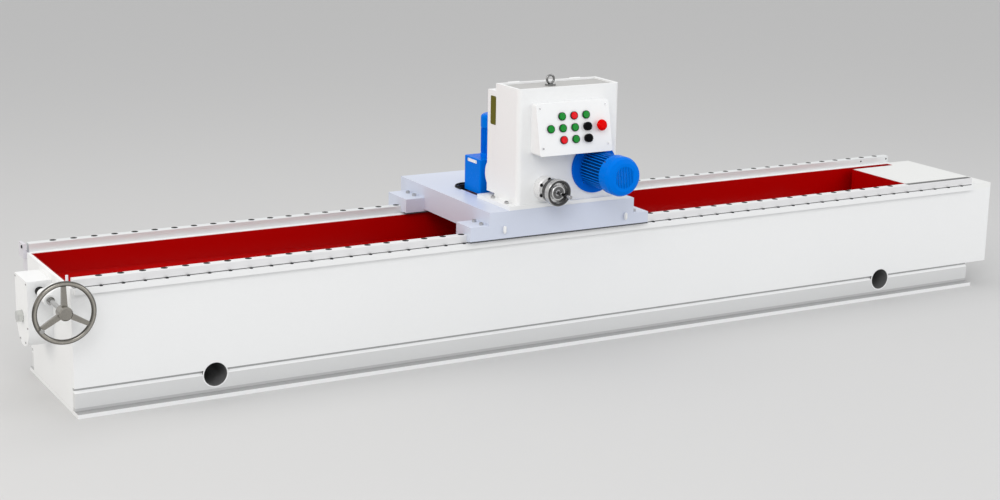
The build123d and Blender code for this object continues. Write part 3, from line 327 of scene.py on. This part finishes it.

# boxes of painted shade: in the carriage's slot and along its lower edge, at the front rail's foot and in
# the dark line on its right end, on the deck plate's top, inside the lifting tubes; and a darker tone on
# the stops at the rear
far = 3  # metres, outside the part on every side
slotShade = {"Low": (-0.352, -0.042, 0.40), "High": (-0.248, 0.190, 0.5195), "Shade": 0.03}
lowerEdgeShadow = {"Low": (-far, -far, 0.40), "High": (far, far, 0.4248), "Shade": 0.08}
railFootShade = {"Low": (-far, -far, 0.40), "High": (far, far, 0.4184), "Shade": 0.06}
deckLineShade = {"Low": (1.462, -0.2505, 0.4437), "High": (1.795, -0.2, 0.46), "Shade": 0.05}
deckTopShade = {"Low": (-far, -far, 0.4155), "High": (far, far, 0.42), "Shade": 0.90}
rearStop = {"Low": (-far, 0.2, 0), "High": (far, far, far), "Shade": 0.74}
tubeBoreShade = {"Low": (-far, -0.2488, 0), "High": (far, 0.2488, far), "Shade": 0.20}
ownFinish = {
    # a slightly warmer white of its own, with painted shade on the plate's top face
    "deck_plate": enamel("deckEnamel", (0.86, 0.868, 0.857), 0.36, shades=((darkBoxGroup, deckTopShade),)),
    "rail_stops": enamel("stopEnamel", (0.86, 0.84, 0.90), 0.36, shades=((darkBoxGroup, rearStop),)),
    # a darker copy of the chrome: painted dark reflection
    "eyebolt": steel("eyeChrome", (0.26, 0.26, 0.26), 0.08, **polished),
    "worm_shaft": brightSteel,
    "crank_handle": brightSteel,
    "worm_wheel": steel("nutChrome", (0.64, 0.65, 0.63), 0.10, **polished),
    "emergency_stop": enamel("stopRed", (0.76, 0.0, 0.0), 0.20, 0.12, 1200.0, fine, specular=0.03),
    # painted shade inside the slot, and a painted shadow along the carriage's lower edge and underside
    "carriage_body": enamel("carriageEnamel", lavender, 0.36,
                            shades=((darkBoxGroup, slotShade), (darkBoxGroup, lowerEdgeShadow))),
    # painted shade by height: dark flange top and groove, a greyer web
    "base_frame": enamel("baseEnamel", white, 0.32, shades=((ledgeShadeGroup, {}),)),
    # painted shade inside the lifting tubes' bores
    "lifting_tubes": enamel("tubeEnamel", white, 0.40, shades=((darkBoxGroup, tubeBoreShade),)),
    "nose_flange": steel("noseSteel", (0.80, 0.80, 0.80), 0.30, turned, metallic=0.3),
    # painted shade: a dark line at the rail's foot and on its top where it meets the deck plate
    "front_rail": steel("railFootSteel", railTone, **groundRail,
                        shades=((darkBoxGroup, railFootShade), (darkBoxGroup, deckLineShade))),
    # a darker, slightly cyan copy of the rail steel: painted shade, and a tint painted against the tray's
    # red bounce light
    "rear_rail": steel("rearRailSteel", (0.74, 0.765, 0.77), **groundRail),
    # painted reflection: dark and bright rings by distance from the dial's axis
    "feed_dial": steel("dialChrome", (0.90, 0.90, 0.90), 0.16, **polished, metallic=0.55,
                       shades=((dialReflectionGroup, {}),)),
    "feed_motor_flange": enamel("flangeEnamel", (0.0, 0.125, 0.65), **motorPaint),
    # painted shade between the fins, darker towards their roots
    "feed_motor_frame": enamel("finnedEnamel", blue, **motorPaint, shades=((finShadeGroup, {}),)),
}

slotOf = {s["node"]: s["material_slot"] for s in frame["record"]["subparts"]}
for nodeName, obj in nodes.items():
    obj.data.materials.clear()
    obj.data.materials.append(ownFinish.get(nodeName, finishes[slotOf[nodeName]]))
print("finishes set on", len(nodes), "nodes")


# repeated fasteners, made by one tree of geometry nodes; the shares are of the head's height and radius:
# a drum, a narrower brow that fills the rest of the height, and a dark hexagon just above the brow, painted
# shade that stands for the socket's hole
screwForm = {"drum": 0.8, "brow": 0.86, "well": 0.06, "wellMiddle": 1.02, "sides": 18, "wellSides": 6}


def buildScrewTree():
    f = screwForm
    tree = bpy.data.node_groups.new("socketScrews", "GeometryNodeTree")
    face = tree.interface
    face.new_socket("Geometry", in_out="INPUT", socket_type="NodeSocketGeometry")
    for label in ("Head radius", "Head height", "Socket radius"):
        face.new_socket(label, in_out="INPUT", socket_type="NodeSocketFloat")
    face.new_socket("Head finish", in_out="INPUT", socket_type="NodeSocketMaterial")
    face.new_socket("Socket finish", in_out="INPUT", socket_type="NodeSocketMaterial")
    face.new_socket("Geometry", in_out="OUTPUT", socket_type="NodeSocketGeometry")
    new, link = tree.nodes.new, tree.links.new
    ins = new("NodeGroupInput")
    outs = new("NodeGroupOutput")
    radius, height, socket = (ins.outputs[k] for k in ("Head radius", "Head height", "Socket radius"))

    def drum(reach, share, middle, sides, isSocket):
        body = new("GeometryNodeMeshCylinder")
        body.inputs["Vertices"].default_value = sides
        link(reach, body.inputs["Radius"])
        link(addMath(tree, "MULTIPLY", height, share), body.inputs["Depth"])
        move = new("GeometryNodeTransform")
        link(body.outputs["Mesh"], move.inputs["Geometry"])
        spot = new("ShaderNodeCombineXYZ")
        link(addMath(tree, "MULTIPLY", height, middle), spot.inputs["Z"])
        link(spot.outputs[0], move.inputs["Translation"])
        mark = new("GeometryNodeStoreNamedAttribute")
        mark.data_type, mark.domain = "BOOLEAN", "FACE"
        mark.inputs["Name"].default_value = "socketFace"
        mark.inputs["Value"].default_value = isSocket
        link(move.outputs["Geometry"], mark.inputs["Geometry"])
        return mark.outputs["Geometry"]

    def named(kind, label):
        n = new("GeometryNodeInputNamedAttribute")
        n.data_type = kind
        n.inputs["Name"].default_value = label
        return n.outputs["Attribute"]
    low = drum(radius, f["drum"], f["drum"] / 2, f["sides"], False)
    browReach = addMath(tree, "MULTIPLY", radius, f["brow"])
    brow = drum(browReach, 1 - f["drum"], (1 + f["drum"]) / 2, f["sides"], False)
    well = drum(socket, f["well"], f["wellMiddle"], f["wellSides"], True)
    screw = new("GeometryNodeJoinGeometry")
    for part in (well, brow, low):
        link(part, screw.inputs["Geometry"])
    turn = new("FunctionNodeAlignRotationToVector")
    turn.axis = "Z"
    link(named("FLOAT_VECTOR", "aim"), turn.inputs["Vector"])
    scatter = new("GeometryNodeInstanceOnPoints")
    link(ins.outputs["Geometry"], scatter.inputs["Points"])
    link(screw.outputs["Geometry"], scatter.inputs["Instance"])
    link(turn.outputs["Rotation"], scatter.inputs["Rotation"])
    real = new("GeometryNodeRealizeInstances")
    link(scatter.outputs["Instances"], real.inputs["Geometry"])
    headPaint = new("GeometryNodeSetMaterial")
    link(real.outputs["Geometry"], headPaint.inputs["Geometry"])
    link(ins.outputs["Head finish"], headPaint.inputs["Material"])
    socketPaint = new("GeometryNodeSetMaterial")
    link(headPaint.outputs["Geometry"], socketPaint.inputs["Geometry"])
    link(named("BOOLEAN", "socketFace"), socketPaint.inputs["Selection"])
    link(ins.outputs["Socket finish"], socketPaint.inputs["Material"])
    link(socketPaint.outputs["Geometry"], outs.inputs["Geometry"])
    return tree


screwTree = buildScrewTree()


def placeScrews(name, body, spots, size, headFinish, socketFinish):
    # spots: (place, direction that the head faces); size: head radius, head height, socket radius
    mesh = bpy.data.meshes.new(name + "Points")
    mesh.from_pydata([s[0] for s in spots], [], [])
    aim = mesh.attributes.new("aim", "FLOAT_VECTOR", "POINT")
    for k, s in enumerate(spots):
        aim.data[k].vector = s[1]
    maker = bpy.data.objects.new(name + "Points", mesh)
    bpy.context.scene.collection.objects.link(maker)
    mod = maker.modifiers.new("screws", "NODES")
    mod.node_group = screwTree
    given = {"Head radius": size[0], "Head height": size[1], "Socket radius": size[2],
             "Head finish": headFinish, "Socket finish": socketFinish}
    for item in screwTree.interface.items_tree:
        if item.in_out == "INPUT" and item.name in given:
            mod[item.identifier] = given[item.name]
    bpy.context.view_layer.update()
    depsgraph = bpy.context.evaluated_depsgraph_get()
    plain = bpy.data.meshes.new_from_object(maker.evaluated_get(depsgraph))
    bpy.data.objects.remove(maker)
    piece = bpy.data.objects.new(name, plain)
    bpy.context.scene.collection.objects.link(piece)
    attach(piece, body)
    print("screws:", name, len(spots))


up = (0, 0, 1)
front = (0, -1, 0)
leftWay = (-1, 0, 0)

railLine = {"first": -1.8043, "pitch": 0.0708, "end": 0.05}
railPlugs = {"toRear": 0.0038, "frontEnd": 1.45, "sink": 0.0003, "size": (0.0115, 0.0004, 0.0098)}
railClamps = {"out": 0.0058, "size": (0.0055, 0.0034, 0.003)}
railEnds = {"insets": (0.010, 0.147), "drop": 0.0125, "size": (0.0036, 0.0002, 0.002)}
stopScrew = {"inset": 0.041, "drop": 0.0125, "size": (0.0055, 0.0034, 0.003)}


def addRailScrews():
    def line(high):
        count = int((high.x - railLine["end"] - railLine["first"]) / railLine["pitch"]) + 1
        return [railLine["first"] + k * railLine["pitch"] for k in range(count)]
    p = railPlugs
    tops = []
    for rail in ("front_rail", "rear_rail"):
        low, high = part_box(rail)
        y = (low.y + high.y) / 2 + p["toRear"]
        last = p["frontEnd"] if rail == "front_rail" else high.x
        tops += [((x, y, high.z - p["sink"]), up) for x in line(high) if x < last]
    placeScrews("railHolePlugs", "bed", tops, p["size"], plugDark, socketShade)
    c = railClamps
    low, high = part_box("front_rail")
    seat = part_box("front_rail_seat")[1].z
    clamps = [((x, low.y - c["out"], seat), up) for x in line(high)]
    placeScrews("railClampScrews", "bed", clamps, c["size"], blackenedSteel, socketShade)
    e = railEnds
    low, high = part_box("rear_rail")
    ends = [((high.x - inset, low.y, high.z - e["drop"]), front) for inset in e["insets"]]
    placeScrews("railEndScrews", "bed", ends, e["size"], blackenedSteel, socketShade)
    s = stopScrew
    low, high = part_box("rail_stops")
    stop = [((low.x, high.y - s["inset"], high.z - s["drop"]), leftWay)]
    placeScrews("railStopScrew", "bed", stop, s["size"], blackenedSteel, socketShade)


addRailScrews()

consoleScrews = {"side": 0.014, "top": 0.016, "bottom": 0.027, "size": (0.0034, 0.0016, 0.0016)}


def addConsoleScrews():
    # on the sloping cover, whose tilt follows from its box
    c = consoleScrews
    low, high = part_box("console_cover")
    tilt = math.atan2(high.y - low.y, high.z - low.z)
    normal = Vector((0, -math.cos(tilt), math.sin(tilt)))
    along = Vector((0, math.sin(tilt), math.cos(tilt)))
    corners = nodes["console_cover"].data.vertices
    offset = max(normal.dot(v.co) for v in corners)
    spread = [along.dot(v.co) for v in corners]
    spots = []
    for x in (low.x + c["side"], high.x - c["side"]):
        for v in (min(spread) + c["bottom"], max(spread) - c["top"]):
            spots.append((normal * offset + along * v + Vector((x, 0, 0)), normal))
    placeScrews("consoleScrews", "carriage", spots, c["size"], finishes["chrome"], socketShade)


addConsoleScrews()

# angles in degrees from +X towards +Z
noseScrews = {"face": 0.024, "circle": 0.0365, "angles": range(30, 390, 60),
              "size": (0.0062, 0.003, 0.0040)}
barHoleShades = {"along": 0.012, "neck": 0.0298, "angles": range(0, 360, 45), "size": (0.0045, 0.0006, 0.0038)}
motorScrews = {"circle": 0.069, "angles": range(45, 405, 90), "size": (0.0048, 0.005, 0.0026)}
cowlScrews = {"inset": 0.007, "sink": 0.0002, "angles": range(45, 405, 90), "size": (0.0034, 0.002, 0.0016)}


def ringSpots(centre, radius, angles, aim=None):
    # spots on a circle in an X-Z plane, facing outward where no other way is given
    spots = []
    for a in angles:
        way = Vector((math.cos(math.radians(a)), 0, math.sin(math.radians(a))))
        spots.append((Vector(centre) + way * radius, aim or way))
    return spots


def addFlangeScrews():
    n, b, m, c = noseScrews, barHoleShades, motorScrews, cowlScrews
    low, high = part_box("nose_flange")
    x, z = (low.x + high.x) / 2, (low.z + high.z) / 2
    spots = ringSpots((x, low.y + n["face"], z), n["circle"], n["angles"], front)
    placeScrews("noseScrews", "carriage", spots, n["size"], blackenedSteel, socketShade)
    # dark discs on the neck stand for its bar holes: painted shade
    spots = ringSpots((x, low.y + b["along"], z), b["neck"], b["angles"])
    placeScrews("noseBarHoleShades", "carriage", spots, b["size"], plugDark, socketShade)
    low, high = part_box("feed_motor_flange")
    x, z = (low.x + high.x) / 2, low.z + (high.x - low.x) / 2
    spots = ringSpots((x, low.y, z), m["circle"], m["angles"], front)
    paint = finishes["blue_paint"]
    placeScrews("motorFlangeScrews", "carriage", spots, m["size"], paint, socketShade)
    low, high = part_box("feed_motor_cowl")
    x, z = (low.x + high.x) / 2, (low.z + high.z) / 2
    spots = ringSpots((x, high.y - c["inset"], z), (high.x - low.x) / 2 - c["sink"], c["angles"])
    placeScrews("cowlScrews", "carriage", spots, c["size"], finishes["chrome"], socketShade)


addFlangeScrews()

footScrews = {"inset": 0.017, "top": 0.534, "rows": (-0.225, -0.127), "size": (0.008, 0.008, 0.0042)}


def addFootScrews():
    f = footScrews
    low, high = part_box("column")
    sides = (low.x + f["inset"], high.x - f["inset"])
    spots = [(Vector((x, y, f["top"])), up) for x in sides for y in f["rows"]]
    placeScrews("footScrews", "carriage", spots, f["size"], finishes["shaft_steel"], socketShade)


addFootScrews()

# the cover is square above and half round below; angles in degrees from +Y towards +Z
coverScrews = {"inset": 0.009, "angles": (-60, -120), "size": (0.0034, 0.0022, 0.0016)}


def addCoverScrews():
    c = coverScrews
    low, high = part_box("worm_cover")
    half = (high.y - low.y) / 2
    middle = (low.y + high.y) / 2
    reach = half - c["inset"]
    arc = low.z + half
    places = [(middle + side * reach, z) for side in (-1, 1) for z in (high.z - c["inset"], arc)]
    for a in c["angles"]:
        t = math.radians(a)
        places.append((middle + reach * math.cos(t), arc + reach * math.sin(t)))
    spots = [(Vector((low.x, y, z)), leftWay) for y, z in places]
    placeScrews("coverScrews", "bed", spots, c["size"], finishes["shaft_steel"], socketShade)


addCoverScrews()

# rim: inset and height of each ring, from under the plate over its raised rim to its sunk face
plateForm = {"corner": 0.004, "cornerSteps": 4, "rivetInset": 0.004, "rivetSize": (0.0013, 0.0008, 0.0005),
             "rim": ((0, -0.0001), (0, 0.00077), (0.00033, 0.0011), (0.0018, 0.0011), (0.0022, 0.000825))}
headPlate = {"y": -0.0715, "z": 0.790, "size": (0.037, 0.101)}
reducerPlate = {"y": 0.0935, "z": 0.6275, "size": (0.068, 0.0115)}


def barePlate(name, body, spec, x, finish):
    # a thin bare plate with rounded corners, a raised rim and four rivets, on a face that looks to -X
    p = plateForm
    start = Vector((x, spec["y"], spec["z"]))
    a, u, n = Vector(front), Vector(up), Vector(leftWay)
    w, h = spec["size"]
    bm = bmesh.new()

    def outline(inset, height):
        ring = []
        near, right, top = p["corner"], w - p["corner"], h - p["corner"]
        for cx, cy, first in ((right, top, 0), (near, top, 90), (near, near, 180), (right, near, 270)):
            for k in range(p["cornerSteps"] + 1):
                t = math.radians(first + 90 * k / p["cornerSteps"])
                px = cx + (near - inset) * math.cos(t)
                py = cy + (near - inset) * math.sin(t)
                ring.append(bm.verts.new(start + a * px + u * py + n * height))
        return ring
    rings = [outline(inset, height) for inset, height in p["rim"]]
    count = len(rings[0])
    for lower, upper in zip(rings, rings[1:]):
        for k in range(count):
            bm.faces.new((lower[k], lower[(k + 1) % count], upper[(k + 1) % count], upper[k]))
    bm.faces.new(rings[-1])
    bm.faces.new(list(reversed(rings[0])))
    mesh = bpy.data.meshes.new(name)
    bm.normal_update()
    bm.to_mesh(mesh)
    bm.free()
    mesh.materials.append(finish)
    piece = bpy.data.objects.new(name, mesh)
    bpy.context.scene.collection.objects.link(piece)
    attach(piece, body)
    sunk = p["rim"][-1][1]
    sides = (p["rivetInset"], w - p["rivetInset"])
    levels = (p["rivetInset"], h - p["rivetInset"])
    rivets = [(start + a * side + u * level + n * sunk, n) for side in sides for level in levels]
    bright = finishes["chrome"]
    placeScrews(name + "Rivets", body, rivets, p["rivetSize"], bright, bright)


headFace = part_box("head_slide")[0].x
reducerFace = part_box("reducer_housing")[0].x
barePlate("headPlate", "head", headPlate, headFace, oliveFoil)
barePlate("reducerPlate", "carriage", reducerPlate, reducerFace, plateWhite)
print("plates set")

# angles in degrees from +X towards +Y; the run goes on straight towards the operator
slotEdging = {"middle": (-0.300, 0.136), "radius": 0.048, "top": 0.520, "height": 0.007, "width": 0.006,
              "from": 62, "to": 180, "steps": 28, "run": 0.030, "sides": 8}


def addSlotEdging():
    # a rubber edging pressed round the rear end of the slot in the carriage, half round in section
    e = slotEdging
    path = []
    for k in range(e["steps"] + 1):
        t = math.radians(e["from"] + (e["to"] - e["from"]) * k / e["steps"])
        out = Vector((math.cos(t), math.sin(t), 0))
        path.append((Vector((*e["middle"], 0)) + out * e["radius"], out))
    last, out = path[-1]
    path.append((last + Vector((0, -e["run"], 0)), out))
    bm = bmesh.new()
    rings = []
    for place, out in path:
        ring = []
        for k in range(e["sides"] + 1):
            t = math.pi * k / e["sides"]
            rise = e["top"] + e["height"] * math.sin(t)
            aside = place + out * (e["width"] / 2 - e["width"] / 2 * math.cos(t))
            ring.append(bm.verts.new((aside.x, aside.y, rise)))
        rings.append(ring)
    for a, b in zip(rings, rings[1:]):
        for k in range(e["sides"]):
            bm.faces.new((a[k], b[k], b[k + 1], a[k + 1]))
        bm.faces.new((a[-1], b[-1], b[0], a[0]))
    bm.faces.new(rings[0])
    bm.faces.new(list(reversed(rings[-1])))
    bmesh.ops.recalc_face_normals(bm, faces=bm.faces)
    mesh = bpy.data.meshes.new("slotEdging")
    bm.to_mesh(mesh)
    bm.free()
    mesh.materials.append(finishes["black_rubber"])
    piece = bpy.data.objects.new("slotEdging", mesh)
    bpy.context.scene.collection.objects.link(piece)
    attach(piece, "carriage")
    print("slot edging set")


addSlotEdging()

# pale floor, even surround, soft lamps
floorSpec = {"tone": (0.60, 0.60, 0.60), "roughness": 0.9, "half": 40}
surround = {"ambient": 0.77, "backdrop": 0.88}
lamps = {
    "keyLight": {"place": (-3.2, -4.6, 4.2), "target": (-0.2, 0, 0.4), "size": (3.5, 2.5), "power": 97.0},
    "fillLight": {"place": (3.6, -4.0, 2.8), "target": (0.3, 0, 0.4), "size": (3.0, 2.5), "power": 50.0},
    "topLight": {"place": (0.0, 1.2, 4.4), "target": (0.0, 0.1, 0.4), "size": (5.0, 2.4), "power": 31.0},
    "sideLight": {"place": (-6.2, 0.4, 2.8), "target": (-1.0, 0, 0.4), "size": (3.0, 3.0), "power": 64.0,
                  "tint": (1.0, 0.93, 0.83)},
}


def addAreaLight(name, place, target, size, power, tint=(1, 1, 1)):
    data = bpy.data.lights.new(name, "AREA")
    data.shape = "RECTANGLE"
    data.size, data.size_y = size
    data.energy = power
    data.color = tint
    lamp = bpy.data.objects.new(name, data)
    turn = (Vector(target) - Vector(place)).to_track_quat("-Z", "Y").to_matrix().to_4x4()
    lamp.matrix_world = Matrix.Translation(place) @ turn
    bpy.context.scene.collection.objects.link(lamp)


def buildFloor():
    mesh = bpy.data.meshes.new("studioFloor")
    s = floorSpec["half"]
    mesh.from_pydata([(-s, -s, 0), (s, -s, 0), (s, s, 0), (-s, s, 0)], [], [(0, 1, 2, 3)])
    floor = bpy.data.objects.new("studioFloor", mesh)
    bpy.context.scene.collection.objects.link(floor)
    mat = bpy.data.materials.new("paleFloor")
    mat.use_nodes = True
    shader = mat.node_tree.nodes["Principled BSDF"]
    shader.inputs["Base Color"].default_value = (*floorSpec["tone"], 1)
    shader.inputs["Roughness"].default_value = floorSpec["roughness"]
    mesh.materials.append(mat)


def buildWorld():
    # an even pale surround, a little brighter where the camera, metal or glass sees it
    world = bpy.data.worlds.new("studioWorld")
    bpy.context.scene.world = world
    world.use_nodes = True
    tree = world.node_tree
    back = tree.nodes["Background"]
    path = tree.nodes.new("ShaderNodeLightPath")
    seen = path.outputs["Is Camera Ray"]
    for ray in ("Is Glossy Ray", "Is Transmission Ray"):
        seen = addMath(tree, "MAXIMUM", seen, path.outputs[ray])
    lift = addMath(tree, "MULTIPLY", seen, surround["backdrop"] - surround["ambient"])
    tree.links.new(addMath(tree, "ADD", surround["ambient"], lift), back.inputs["Strength"])
    back.inputs["Color"].default_value = (1, 1, 1, 1)


buildFloor()
buildWorld()
for lampName, spec in lamps.items():
    addAreaLight(lampName, **spec)
bpy.context.scene.view_settings.view_transform = "Standard"
print("studio ready")
